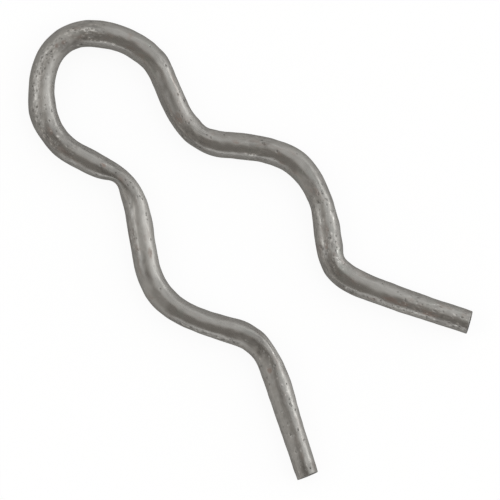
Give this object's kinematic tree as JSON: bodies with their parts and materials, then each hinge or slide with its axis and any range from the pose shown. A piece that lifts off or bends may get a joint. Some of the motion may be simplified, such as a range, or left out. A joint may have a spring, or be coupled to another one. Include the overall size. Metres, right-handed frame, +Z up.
{
  "type": "hitch pin clip",
  "caption": "Bent round-wire spring clip with a pull eye and waved legs that snap over a grooved shaft, then flare apart at plain cut tips.",
  "frame": {"origin": "on the axis of the shaft that the clip holds, midway between the centres of the two bellies, on the clip's underside", "axes": "+X from the pull eye to the tips, +Y to the upper leg, +Z up along the shaft's axis, away from the surface that the clip lies on"},
  "size_m": [0.0634, 0.0305, 0.0032],
  "materials": {
    "wire": "dull drawn steel wire, with fine draw lines, small pits and light stains"
  },
  "bodies": {
    "root": {"spring_clip": "wire"}
  },
  "joints": []
}
